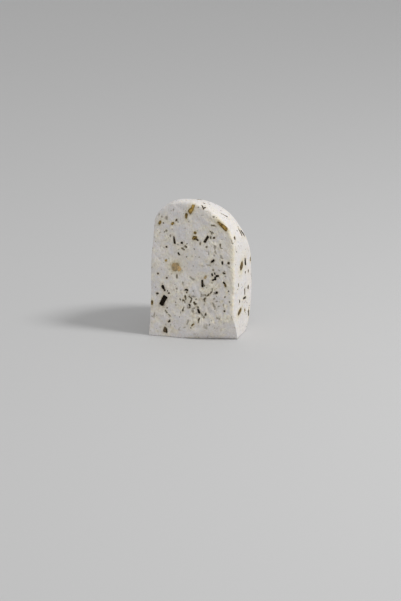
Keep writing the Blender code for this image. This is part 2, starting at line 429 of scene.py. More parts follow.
def link(name: str, data: Any) -> Item:
    """Put new data into the scene as an object.

    Args:
        name: Name of the object.
        data: Its mesh, light or camera.

    Returns:
        The object.
    """
    item = bpy.data.objects.new(name, data)
    bpy.context.scene.collection.objects.link(item)
    return item


def mesh_item(name: str, points: Array, faces: list[Any], marks: dict[str, Array]) -> Item:
    """Make a smooth mesh.

    Args:
        name: Its name.
        points: Its vertices.
        faces: Vertex numbers of each face.
        marks: Numbers of the vertices, by name.

    Returns:
        The mesh object.
    """
    mesh = bpy.data.meshes.new(name)
    mesh.from_pydata(points.tolist(), [], faces)
    for mark, values in marks.items():
        mesh.attributes.new(mark, "FLOAT", "POINT").data.foreach_set("value", values.astype(np.float32))
    mesh.shade_smooth()
    return link(name, mesh)


class HerbKind(Enum):
    """What a bedded piece is."""

    STEM = "dark_stems"
    LEAF = "olive_leaves"
    PEPPER = "yellow_peppers"
    SPECK = "fine_specks"


@dataclass(frozen=True)
class Herb:
    """One bedded piece or pit: where it lies on the smooth skin, and its form.

    Lengths are in metres and the turn in degrees. Squareness is the superellipse's power,
    taper widens the far end, slant shears the ends, and tone is 0 for the darkest of its kind
    and 1 for the lightest.
    """

    kind: HerbKind
    point: Vector
    normal: Vector
    length: float
    width: float
    turn: float
    squareness: float = 2.6
    taper: float = 0.0
    slant: float = 0.0
    tone: float = 0.5

    def axes(self) -> tuple[Vector, Vector]:
        """The directions of its length and width, in the surface.

        Returns:
            Two unit vectors.
        """
        level = Vector((0, 0, 1)).cross(self.normal)
        if level.length < 1e-3:
            level = Vector((1, 0, 0))
        along = Matrix.Rotation(math.radians(self.turn), 3, self.normal) @ level.normalized()
        return along, self.normal.cross(along)


STEM, LEAF, PEPPER, SPECK = HerbKind
SQUARENESS = {STEM: 3.0, LEAF: 2.6, PEPPER: 2.6}

# Pieces of the cut by kind, each with its place across, height, length and width in
# millimetres, its turn and tone, and if not the usual ones, its slant, taper and squareness
FRONT_HERBS = {
    STEM: (
        (-23.2, 30.1, 8.8, 4.1, 61, 0, -0.12, 0, 14), (13.1, 83.6, 6, 2.1, 58, 0.1, 0, 0, 14),
        (9.2, 46.9, 6, 1.6, -86, 0.12, 0.1, 0, 5), (-14.5, 81.8, 6.6, 1.4, -81, 0.15, 0.2, 0.5, 3.5),
        (-23.4, 41.2, 3.4, 2.7, -60, 0, 0.2, -0.2), (-22.1, 39.1, 2.6, 1.7, -75, 0.25),
        (6.7, 23.5, 4.2, 2, -72, 0, 0.3, 0.3), (18.6, 65.9, 3.7, 1.8, 30, 0.05, 0.3, 0.3, 3.5),
        (-10.3, 70.2, 2.8, 1.4, -60, 0, 0.3), (27.1, 65.4, 2.7, 1.4, 88, 0.15),
        (32.2, 65.8, 2, 1.8, 80, 0.45), (27.6, 49.3, 2.4, 1.6, -40, 0.1, 0.3),
        (27.8, 57.1, 2.4, 1.4, -12, 0.6), (21.4, 40.8, 2, 1.8, 0, 0.05, 0.3),
        (-8.2, 80.1, 2, 1.7, 0, 0.1, 0, 0.2), (-21.5, 75.2, 1.6, 1.5, 0, 0.3),
        (-28.4, 35.5, 2.1, 1.7, 0, 0.35), (-18.3, 36.8, 1.6, 1.3, 20, 0.8),
        (-27.9, 52, 1.5, 1.2, 0, 0.65), (-20, 49.4, 1.7, 1.4, 0, 0.45),
        (-19.1, 13.4, 2.4, 1.5, 35, 0.3, 0.2, 0.3), (-21.2, 4.9, 4.2, 1.8, -84, 0.15, 0.2, 0.1),
        (19.5, 85.1, 1.8, 1.6, 0, 0.5), (28.3, 25.4, 1.6, 1.4, 0, 0.4), (28.4, 37.7, 1.2, 1.1, 0, 0.3),
        (-1.4, 27.8, 2.2, 1.5, -50, 0.1, 0, 0.2), (-12.5, 98.6, 2, 1.3, 70, 0.7, 0, 0.2),
        (5.6, 82.8, 2, 1.3, -35, 0.2, 0, -0.2), (-3.6, 40.9, 2.8, 1.1, 25, 0.05, 0, 0.2),
        (-2.4, 40.6, 1.9, 1.4, -80, 0.05), (-2.9, 38.5, 1.2, 0.9, -42, 0.4),
        (17.3, 54.9, 2.4, 1.4, -85, 0, 0.2, 0.2), (19.7, 55.8, 1.8, 1.2, -70, 0.1, 0.2),
        (21.9, 54.1, 3, 1.7, 5, 0, 0.2, -0.3), (20, 52.1, 2.6, 1.9, -80, 0, 0, 0.2),
        (18.1, 50.8, 2.1, 1.3, 22, 0.1, 0.2), (10.6, 109.2, 1.4, 1.1, 80, 0.1),
        (-22.6, 5.7, 4.8, 2.8, 82, 0.85, 0.2, -0.1, 2.8),
    ),
    LEAF: (
        (26, 96.5, 10.4, 3.6, -40, 0.36, 0, 0.75), (2.1, 109.3, 4.4, 2.6, 80, 0.95, 0.2, 0.2),
        (0.4, 106.4, 5.6, 3.6, 44, 0.6, 0.2, -0.3), (-3.7, 101.9, 4, 1.9, 82, 0.15, 0.1, 0.2),
        (3.4, 88.3, 2.3, 2.2, 0, 0.1), (3.1, 84.2, 4, 3, -8, 0.25, 0.3),
        (-26, 95.5, 3.6, 2, 58, 0.45, 0.2), (1.1, 11.4, 3, 1.3, 46, 0.25, 0, 0.2),
        (-33.8, 27.9, 3.4, 2.1, 80, 0.1), (-15.3, 95.7, 2.6, 2, 25, 0.6, 0.3),
        (28.7, 47.3, 2.8, 1.6, -72, 0.05, 0.2), (-21.7, 63.3, 1.8, 1.6, 0, 0.75),
    ),
    PEPPER: (
        (-13, 58.6, 6.4, 6.6, 5, 0.25, 0, 0, 2.8), (-10, 57.3, 4.2, 3.2, -60, 0.95, 0, 0.2),
        (11.4, 52.2, 2.8, 1.6, 68, 0.25, 0, -0.2),
    ),
}

# Pieces of the flat face at +X, by place back from the cut and height
SIDE_HERBS = {
    STEM: (
        (25.5, 86.2, 7.6, 2.2, -71, 0.45, 0.2, 0.2, 3.5), (34.5, 83, 11, 2.6, -42, 0.1, 0.2, 0.4, 3.5),
        (5, 85.7, 3, 2.8, 0, 0.6, 0.2), (30.5, 60, 6.2, 3.4, -84, 0.05, 0.3, 0.3, 4),
        (30, 51, 2, 1.9, 0, 0.5, 0.2), (40.4, 49.5, 2.6, 2, 88, 0.5, 0.2),
        (10.2, 45.2, 2.6, 1.6, 90, 0.5, 0.2), (40.2, 35.9, 3.2, 2.6, 88, 0.35, 0.2),
        (28, 29.8, 10, 1.8, -8, 0.2, 0.3, 0.2, 3.5), (29.2, 34.5, 6, 2, -76, 0.9, 0.2),
        (13.3, 31.2, 2.2, 1.8, 90, 0.4, 0.2), (42.2, 13.6, 5.6, 2.4, 88, 0.35, 0.2, 0, 3.5),
    ),
    LEAF: (
        (19.3, 59.3, 8, 6, 34, 0.12, 0.2, 0.1), (15, 22.2, 7.8, 3.6, 24, 0.05, 0.4, 0.1, 3),
        (30.3, 19.2, 2.4, 2.2, 90, 0.2, 0.2),
    ),
}

# Pieces of the rim above the cut, by place across and back from the cut
TOP_HERBS = {
    STEM: (
        (9.4, 1.1, 2.8, 1, 46, 0.1, 0.2), (11.3, 1.2, 2.4, 1, -19, 0.1, 0.2),
        (24.3, 14.4, 7.2, 0.6, -54, 0.9), (8, 10.5, 2.2, 1.2, 30, 0.9, 0.2),
    ),
}

# Open pits and cracks of the cut, each with its place across, height, length and width in
# millimetres, its turn, and its strength from 0 to 1: how deep it is, how much painted shade and painted
# cream highlight it gets
CUT_PITS = (
    (-9.1, 31.7, 2.6, 1.2, -33, 0.75), (-6.9, 31.2, 2.6, 1.4, 5, 0.85),
    (-4.4, 33.8, 3.2, 1.4, -80, 0.8), (-0.3, 34.3, 2.8, 1.5, -55, 0.75),
    (0.1, 31.4, 3.2, 1.4, 70, 0.65), (-1.2, 25.9, 1.8, 1.5, 80, 0.65), (3.2, 29.5, 2.8, 1.7, -67, 1),
    (4.7, 33, 1.5, 1.3, -85, 0.85), (6, 26.1, 2.4, 1.5, -72, 0.75), (6.9, 16.8, 3.1, 1.3, 65, 0.95),
    (6.4, 14.3, 1.8, 1.1, -90, 0.5), (17.5, 42, 2, 1, -80, 0.5), (16.5, 39.7, 2.8, 1.2, 52, 0.65),
    (14.3, 37.6, 3.2, 1.2, 56, 0.85), (12.5, 37.3, 1.8, 1.2, -62, 0.75), (12, 34.7, 3, 1.3, 58, 0.7),
    (11.7, 32.2, 2.6, 1.2, -71, 0.6), (19.2, 29.6, 5, 1.3, -65, 0.4), (-7.6, 23.5, 3.4, 1.3, 68, 0.6),
    (1.5, 22.9, 2.4, 2, -42, 0.35), (-3.4, 13.3, 4, 1.4, 76, 0.35), (32.9, 33.7, 1.6, 1.1, -80, 0.45),
    (12.6, 21.5, 1.8, 1.3, -90, 0.6), (-11.3, 41.3, 1.3, 1.2, 0, 0.6),
    (-4.6, 77.3, 3.2, 1.4, -42, 0.75), (-6.9, 75, 3, 1.3, -39, 0.65), (-11.5, 78.2, 1.8, 1.3, -8, 0.5),
    (8.2, 80, 2.2, 1.5, -90, 0.45), (13.5, 77.6, 1.7, 1.5, 0, 0.5), (16.7, 89.6, 3, 1, -60, 0.7),
    (18.2, 89.4, 2.6, 1, -62, 0.7), (16.7, 85.3, 2.2, 1.3, -88, 0.6), (19, 95.7, 3.2, 1.6, -8, 0.55),
    (18.8, 103.8, 2.2, 1.7, -86, 0.45), (20.2, 76.5, 3.8, 1.6, 80, 0.36),
    (20.9, 73.4, 3, 1.4, -58, 0.34), (24.9, 78.6, 3.6, 1.3, -90, 0.6), (26.1, 70.2, 2.8, 1.3, -75, 0.3),
    (-11.6, 50.9, 2.9, 1.3, -88, 0.5), (-21.2, 88.9, 1.6, 1.5, 0, 0.45),
    (-20.1, 100, 2.6, 1.6, -90, 0.36), (-23.9, 100.5, 1.6, 1.4, 0, 0.4),
    (-17.5, 85.1, 2.5, 1.3, -88, 0.4), (18.5, 59.1, 1.6, 1.4, 0, 0.45), (0.9, 50.6, 4, 1.5, -28, 0.35),
    (-21.3, 21.3, 4, 0.8, -50, 0.7), (-19.1, 18.6, 4, 0.8, -52, 0.7),
)


# Soft oval patches of the cut where the curd is crumbly, each with its place across, height,
# half width and half height in millimetres, and its strength
CRUMBLY_ZONES = (
    (4, 29, 17, 17, 0.85), (23, 34, 13, 28, 0.6), (21, 78, 10, 24, 0.5),
    (-5, 77, 7, 6, 0.45), (-21, 95, 10, 12, 0.35), (-18, 14, 12, 14, 0.3),
)


@dataclass
class HerbSpread:
    """Where all the bedded pieces lie."""

    wheel: Wheel
    shift: Vector
    tree: BVHTree
    outside_count: int = 34
    seed: int = 7
    gap: float = 0.0105
    small: float = 0.0028
    edge_margin: float = 0.0055
    lengths: Pair = (0.0034, 0.0066)
    slimness: Pair = (0.40, 0.80)
    side_reach: float = 0.045
    side_facing: float = 0.75
    cut_specks: int = 54
    outside_specks: int = 260
    speck_lengths: Pair = (0.0005, 0.0014)

    def listed(self, table: dict[HerbKind, Any], axis: int, start: float) -> list[Herb]:
        """Listed pieces, each where a ray along an axis first meets the smooth skin.

        Args:
            table: Rows of the pieces, by kind.
            axis: The rays' axis, left out of each row's two places.
            start: Where on it they start.

        Returns:
            The pieces.
        """
        ahead = Vector(-math.copysign(1.0, start) * np.eye(3)[axis])
        herbs = []
        for kind, rows in table.items():
            for row in rows:
                place = Vector(np.insert(np.array(row[:2]) * MM, axis, start)) - self.shift
                point, normal, _, _ = self.tree.ray_cast(place, ahead)
                length, width, turn, tone = row[2] * MM, row[3] * MM, *row[4:6]
                slant, taper, square = (*row[6:], *(0.0, 0.0, SQUARENESS[kind])[len(row) - 6:])
                herbs.append(Herb(kind, point, normal, length, width, turn, square, taper, slant, tone))
        return herbs

    def large(self) -> list[Herb]:
        """The larger pieces, listed ones first.

        Returns:
            Those of the cut, of the face at +X and of the rim, and seeded ones of the outside.
        """
        far = 2 * self.wheel.radius
        herbs = self.listed(FRONT_HERBS, 1, -far)
        herbs += self.listed(SIDE_HERBS, 0, far) + self.listed(TOP_HERBS, 2, far)

        draw = random.Random(self.seed)
        looks = random.Random(self.seed + 1)
        fixed = len(herbs)
        while len(herbs) < fixed + self.outside_count:
            way, turn = draw.uniform(0.02, 0.98), draw.uniform(-0.2, 2.4)
            length = draw.uniform(*self.lengths)
            width = length * draw.uniform(*self.slimness)
            lie, keep = draw.uniform(0, 180), draw.uniform(0, self.wheel.radius)
            point, normal, reach = self.wheel.outside_point(way, turn)
            if keep > reach or point.y < self.edge_margin or point.z < self.edge_margin:
                continue
            if normal.x > self.side_facing and point.y < self.side_reach:
                continue
            point -= self.shift
            if all((point - other.point).length > self.gap for other in herbs if other.length > self.small):
                kind = looks.choices((STEM, LEAF, PEPPER), (5, 4, 1))[0]
                square, slim = (4.5, 0.62) if kind is STEM else (2.6, 0.9)
                herbs.append(Herb(
                    kind, point, normal, length, width * slim, lie, square,
                    looks.uniform(-0.4, 0.4), looks.uniform(-0.4, 0.4), looks.uniform(0, 0.9)))
        return herbs

    def specks(self) -> list[Herb]:
        """The fine bits, seeded on the cut and on the outside, none of them on the base.

        Returns:
            The specks, those of the cut first.
        """
        draw = random.Random(self.seed + 2)
        front = Vector((0, -1, 0))
        half = self.wheel.thickness / 2
        found: list[Herb] = []

        def add(point: Vector, normal: Vector, length: float, tone: float) -> None:
            """Keep one bit of that length and tone, at a drawn turn and slimness.

            Args:
                point: Where it lies.
                normal: Way out of the curd.
                length: Its length.
                tone: How light it is.
            """
            width = length * draw.uniform(0.45, 0.95)
            found.append(Herb(
                SPECK, point - self.shift, normal, length, width, draw.uniform(0, 180), 3.0,
                draw.uniform(-0.4, 0.4), draw.uniform(-0.4, 0.4), tone))

        while len(found) < self.cut_specks:
            x, z = draw.uniform(-half, half), draw.uniform(0.002, 0.112)
            if self.wheel.on_cut(x, z):
                add(Vector((x, 0, z)), front, draw.uniform(*self.speck_lengths), draw.uniform(0.1, 1))
        while len(found) < self.cut_specks + self.outside_specks:
            way, turn = draw.uniform(0.01, 0.99), draw.uniform(-0.2, 2.5)
            point, normal, reach = self.wheel.outside_point(way, turn)
            if draw.uniform(0, self.wheel.radius) > reach or point.y < 0.001 or point.z < 0.001:
                continue
            if self.wheel.behind_trim(point) or normal.x < self.side_facing:
                add(point, normal, draw.uniform(*self.speck_lengths), draw.uniform(0.1, 1))
        return found


class Marks(dict[str, Array]):
    """What the skin's vertices carry: height along the normal, and stains, painted shade and painted
    highlights for the material.
    """

    STAINS_AND_PAINTED_LIGHT = ("painted_pit_shade", "olive", "brown", "ivory_and_painted_light", "painted_crumb_light")

    def __init__(self, count: int) -> None:
        """Start with nothing on that many vertices."""
        super().__init__({name: np.zeros(count) for name in ("height", *self.STAINS_AND_PAINTED_LIGHT)})

    def lift(self, name: str, near: Array, value: Array) -> None:
        """Raise one mark to a value where it is lower."""
        self[name][near] = np.maximum(self[name][near], value)


@dataclass
class Curd:
    """The cheese itself: a fine skin with swells, crumb, pits, and a hollow for each herb."""

    wheel: Wheel
    grid: Grid
    swell_lengths: Pair = (0.024, 0.046)
    swell_height: float = 0.00045
    swell_seed: int = 11
    crumb_lengths: Pair = (0.0075, 0.0115)
    crumb_height: float = 0.00016
    crumb_seed: int = 23
    crumb_on_rind: float = 0.3
    base_fade: float = 0.007
    edge_softness: float = 0.0068
    edge_passes: int = 200
    edge_share: float = 0.6
    rim_softness: tuple[float, float, float] = (0.20, 0.85, 0.022)
    left_softness: float = 0.18
    foot_fade: float = 0.004
    curd_size: float = 0.0040
    curd_bend: Pair = (0.0033, 0.0010)
    curd_bulge: Pair = (0.42, 0.00025)
    fine_waves: tuple[tuple[float, float, int], ...] = ((0.0026, 0.00013, 41), (0.0013, 0.00010, 42))
    crumb_wave: tuple[float, float, float] = (0.0024, 0.00042, 0.00016)
    pit_size: float = 0.0021
    crevice_depth: float = 0.0003
    pit_depth: float = 0.00095
    bed_depth: float = 0.0003
    plane_reach: float = 0.0015
    # Middle and half width of the cream tint painted along the rounded right edge as shade.
    edge_shade_strip: Pair = (0.0014, 0.0030)
    proudest: float = 0.00012
    skin: Skin = field(init=False)
    tree: BVHTree = field(init=False)
    settled: Array = field(init=False)

    def __post_init__(self) -> None:
        """Work out the smooth skin and a search tree of it."""
        self.skin = Skin(self.wheel, self.grid)
        self.tree = BVHTree.FromPolygons(self.skin.points.tolist(), self.skin.quads.tolist())

    def warp(self, points: Array, normals: Array) -> Array:
        """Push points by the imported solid's long swells and short waves, but not up at the base.

        Args:
            points: Points on or near the smooth skin.
            normals: The skin's normal at each.

        Returns:
            The points moved.
        """
        def waves(lengths: Pair, seed: int) -> Array:
            """Three wave fields, one for each direction."""
            return np.stack([wave_field(points, lengths, seed + axis) for axis in range(3)], axis=-1)

        on_cut = np.clip(-normals[:, 1], self.crumb_on_rind, 1.0)[:, None]
        move = self.swell_height * waves(self.swell_lengths, self.swell_seed)
        move += self.crumb_height * on_cut * waves(self.crumb_lengths, self.crumb_seed)
        move[:, 2] *= np.clip(points[:, 2] / self.base_fade, 0.0, 1.0)
        return points + move

    def _away_from(self, edge: Array) -> Array:
        """Distance of every vertex from an edge, given by its vertices.

        Args:
            edge: Numbers of its vertices.

        Returns:
            A distance for each vertex.
        """
        near = np.full(len(self.skin.points), 1.0)
        for index in edge[::3]:
            near = np.minimum(near, np.linalg.norm(self.skin.points - self.skin.points[index], axis=1))
        return near

    def _soften_edges(self, points: Array) -> Array:
        """Round the cut's edges by averaging vertices near them with their neighbours.

        Args:
            points: The skin's vertices.

        Returns:
            The vertices moved.
        """
        skin, quads = self.skin, self.skin.quads
        pairs = np.concatenate([quads[:, [k, (k + 1) % 4]] for k in range(4)])
        pairs = pairs[pairs[:, 0] != pairs[:, 1]]
        degree = np.maximum(np.bincount(pairs[:, 0], minlength=len(points)), 1)[:, None]
        weight = np.zeros(len(points))
        faint, firm, across = self.rim_softness
        along_rim = faint + (firm - faint) * smooth_step(points[:, 0], 0.0, across)
        edges = ((skin.rim_edge, along_rim), (skin.left_edge, self.left_softness), (skin.right_edge, 1.0))
        for edge, strength in edges:
            bell = np.exp(-(self._away_from(edge) / (self.edge_softness * strength)) ** 2)
            weight = np.maximum(weight, strength * bell)
        weight *= smooth_step(points[:, 2], 0.0, self.foot_fade)
        for _ in range(self.edge_passes):
            mean = np.stack([
                np.bincount(pairs[:, 0], points[pairs[:, 1], axis], len(points)) for axis in range(3)
            ], axis=-1) / degree
            points = points + self.edge_share * weight[:, None] * (mean - points)
        return points

    def _crumbliness(self, on_cut: Array) -> Array:
        """How crumbly the curd is: bells about the zones on the cut, slow noise on the outside.

        Args:
            on_cut: How far each vertex is on the cut.

        Returns:
            A value from 0 to 1.1 for each vertex.
        """
        across, _, up = (self.skin.points + np.array(self.skin.shift)).T / MM
        cut = 0.16 + sum(
            strength * np.exp(-((across - x) / wide) ** 2 - ((up - z) / tall) ** 2)
            for x, z, wide, tall, strength in CRUMBLY_ZONES)
        rind = 0.34 * smooth_step(value_noise(self.skin.points, 0.020, 61), -0.2, 0.8)
        share = smooth_step(on_cut, 0.3, 0.9)
        return np.clip(cut * share + rind * (1 - share), 0.0, 1.1)

    def _crumble(self, crumbly: Array, on_cut: Array, marks: Marks) -> None:
        """Break the skin into curd grains with open walls, and strew it with small pits.

        Grains are the cells about seeded points of a bent lattice, walls are where two points
        are about equally near, and pits are the peaks of a finer noise. Both open where the
        curd is crumbly.

        Args:
            crumbly: How crumbly the curd is at each vertex.
            on_cut: 1 on the cut, 0 where the skin faces elsewhere.
            marks: What is written to.
        """
        smooth, height = self.skin.points, marks["height"]
        bend_size, bend = self.curd_bend
        bent = smooth + bend * np.stack([value_noise(smooth, bend_size, 80 + k) for k in range(3)], axis=-1)
        nearest, second = grains(bent, self.curd_size, 70)
        wall = 1 - smooth_step(second - nearest, 0.02, 0.24)
        opened = wall * smooth_step(crumbly + 0.9 * value_noise(smooth, 0.0030, 71), 1.00, 1.45)
        finer = value_noise(bent, self.pit_size, 72) + 0.20 * value_noise(bent, self.pit_size / 2, 73)
        pitted = smooth_step(finer + 0.22 * crumbly, 0.66, 0.95)
        edge, bulge = self.curd_bulge
        height += bulge * crumbly * (edge - nearest) - self.crevice_depth * opened
        height -= self.pit_depth * pitted * (0.4 + 0.6 * np.minimum(crumbly, 1))
        for wave_size, rise, seed in self.fine_waves:
            height += rise * value_noise(smooth, wave_size, seed)
        crumb_size, rise, sunk = self.crumb_wave
        height += crumbly * (rise * value_noise(bent, crumb_size, 43) - sunk)
        # Painted shade in the open walls and the pits, stronger on the cut.
        marks["painted_pit_shade"] = np.clip((0.10 * opened + 0.50 * pitted) * (0.45 + 0.55 * on_cut), 0, 1)
        cream = value_noise(bent, 0.0042, 74) + 0.35 * value_noise(bent, 0.0019, 75)
        patchy = smooth_step(cream, -0.15, 0.75)
        marks["ivory_and_painted_light"] = np.clip((0.12 + 0.2 * on_cut + 1.1 * crumbly) * patchy + 0.5 * pitted, 0, 1)

    def _distance(self, points: Array, piece: Herb, reach: float) -> tuple[Array, Array]:
        """How far vertices near a piece lie from its middle, 1 at its outline.

        Args:
            points: All vertices.
            piece: The piece.
            reach: How many half lengths away a vertex still counts.

        Returns:
            The numbers of the near vertices, and their distances.
        """
        away = points - np.array(piece.point)
        near = np.flatnonzero(np.einsum("ij,ij->i", away, away) < (reach * piece.length / 2) ** 2)
        along, side = (away[near] @ np.array(axis) for axis in piece.axes())
        off_plane = (away[near] @ np.array(piece.normal)) / self.plane_reach
        power = piece.squareness
        inner = (np.abs(along) / (piece.length / 2)) ** power + (np.abs(side) / (piece.width / 2)) ** power
        return near, inner ** (1 / power) + off_plane ** 2

    def _dig(self, marks: Marks) -> None:
        """Sink the listed pits of the cut, with a raised lip on each, painted shade in each and a painted
        cream highlight round it.

        Args:
            marks: What the pits are added to.
        """
        smooth = self.skin.points
        ragged = 0.55 * value_noise(smooth, 0.0012, 90)
        for x, z, length, width, turn, strength in CUT_PITS:
            spot = Vector((x * MM, 0, z * MM)) - self.skin.shift
            pit = Herb(SPECK, spot, Vector((0, -1, 0)), 1.1 * length * MM, 1.15 * width * MM, turn)
            near, out = self._distance(smooth, pit, 3.0)
            out = out + ragged[near]
            deep = strength * (1 - smooth_step(out, 0.60, 1.20))
            lip = np.exp(-((out - 1.6) / 0.45) ** 2)
            marks["height"][near] += 0.00022 * strength * lip - deep * (0.0003 + 0.40 * width * MM)
            # Painted shade in the pit.
            marks.lift("painted_pit_shade", near, 1.7 * deep)
            # Painted cream highlight over the pit and round its lip.
            marks.lift("ivory_and_painted_light", near, 1.5 * strength * np.exp(-np.clip(out - 1, 0, None) * 0.6))

    def _bed(self, herbs: Sequence[Herb], specks: Sequence[Herb], marks: Marks) -> None:
        """Sink the curd under each large piece, and stain it about every one.

        Args:
            herbs: The large pieces.
            specks: The fine bits.
            marks: What is written to.
        """
        smooth = self.skin.points
        uneven = 1 + 0.5 * value_noise(smooth, 0.0022, 91)
        for herb in herbs:
            near, out = self._distance(smooth, herb, 3.2)
            under = 1 - smooth_step(out, 0.95, 1.4)
            sunk = self.bed_depth * (1 - smooth_step(out, 1.0, 1.25))
            marks["height"][near] = marks["height"][near] * (1 - under) - sunk
            # No painted pit shade under a piece.
            marks["painted_pit_shade"][near] *= 1 - under
            stain = np.exp(-np.clip(out - 0.9, 0, None) * 1.8 * uneven[near])
            marks.lift("brown" if herb.kind is STEM else "olive", near, stain)
            marks.lift("ivory_and_painted_light", near, np.exp(-np.clip(out - 1, 0, None) * 0.9))
        for speck in specks:
            near, out = self._distance(smooth, speck, 3.0)
            marks.lift("brown", near, 0.4 * np.exp(-np.clip(out - 0.8, 0, None) * 2.0))

    def build(self, herbs: Sequence[Herb], specks: Sequence[Herb]) -> Item:
        """Make the fine skin, with attributes for stains, painted shade in pits, painted highlights and a
        painted edge shade tint.

        Args:
            herbs: The large pieces, each in a hollow of its own.
            specks: The fine bits, which only stain the curd.

        Returns:
            The mesh object.
        """
        smooth, quads = self.skin.points, self.skin.quads
        warped = self.warp(smooth, vertex_normals(smooth, quads))
        points = self._soften_edges(warped)
        self.settled = points - warped
        normals = vertex_normals(points, quads)
        on_cut = np.clip(-normals[:, 1], 0.0, 1.0)
        marks = Marks(len(points))
        self._crumble(self._crumbliness(on_cut), on_cut, marks)
        self._dig(marks)
        self._bed(herbs, specks, marks)
        # Painted shade: a cream tint along the rounded right edge and the right end of the rim, for the
        # beige shade there.
        edge = np.concatenate([self.skin.right_edge, self.skin.rim_edge[-self.grid.columns // 4:]])
        middle, half = self.edge_shade_strip
        edge_shade = np.exp(-((self._away_from(edge) - middle) / half) ** 2) * smooth_step(on_cut, 0.10, 0.65)
        # Painted crumb highlights and gap shade follow the cream mark, away from that edge and mostly on
        # the cut.
        marks["painted_crumb_light"] = marks["ivory_and_painted_light"] * (1 - edge_shade) * (0.3 + 0.7 * on_cut)
        edge_shade_tint = edge_shade * (0.85 + 0.35 * value_noise(smooth, 0.004, 92))
        marks["ivory_and_painted_light"] = np.maximum(marks["ivory_and_painted_light"], edge_shade_tint)

        height = np.minimum(marks["height"], self.proudest) * smooth_step(smooth[:, 2], 0.0, 0.0025)
        points = points + normals * height[:, None]
        points[:, 2] = np.maximum(points[:, 2], 0.0)
        faces = [face for quad in quads.tolist() if len(face := tuple(dict.fromkeys(quad))) > 2]
        return mesh_item("curd", points, faces, {name: np.clip(marks[name], 0, 1) for name in Marks.STAINS_AND_PAINTED_LIGHT})


@dataclass(frozen=True)
class HerbShape:
    """How one kind of bedded piece is modelled."""

    sectors: int
    rings: tuple[float, ...]
    proud: float
    sunk: float
    ragged: float
    wrinkle: float


HERB_SHAPES = {
    STEM: HerbShape(32, (0.35, 0.7, 0.92), 0.00008, 0.0006, 0.06, 0.00006),
    LEAF: HerbShape(32, (0.3, 0.6, 0.85, 0.96), 0.00006, 0.0006, 0.13, 0.00010),
    PEPPER: HerbShape(26, (0.3, 0.6, 0.85, 0.96), 0.00008, 0.0006, 0.10, 0.00008),
    SPECK: HerbShape(9, (0.6,), 0.00004, 0.0004, 0.20, 0.00002),
}


